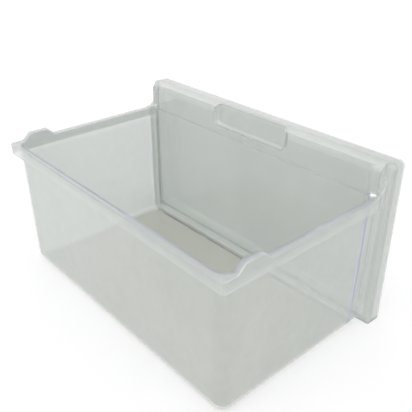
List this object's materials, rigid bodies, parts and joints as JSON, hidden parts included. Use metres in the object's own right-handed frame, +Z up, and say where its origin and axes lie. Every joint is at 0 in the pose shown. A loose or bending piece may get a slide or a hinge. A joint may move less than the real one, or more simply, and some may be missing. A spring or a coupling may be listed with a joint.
{
  "type": "freezer drawer",
  "caption": "Clear open-topped freezer drawer with an inverted-U rim, stop tabs on its sides, a raised hollow front with a finger recess, and a rounded panel that closes the front.",
  "frame": {"origin": "bottom centre of the whole drawer, on the underside of its floor", "axes": "+X along the drawer's width, +Y from the front panel to the back, +Z up; the drawer pulls out along -Y"},
  "size_m": [0.465, 0.294, 0.235],
  "materials": {
    "clear_body": "clear, glossy, faint grey-green tint",
    "clear_panel": "clear, glossy, faint grey-green tint"
  },
  "bodies": {
    "root": {"drawer_body": "clear_body", "front_panel": "clear_panel"}
  },
  "joints": []
}
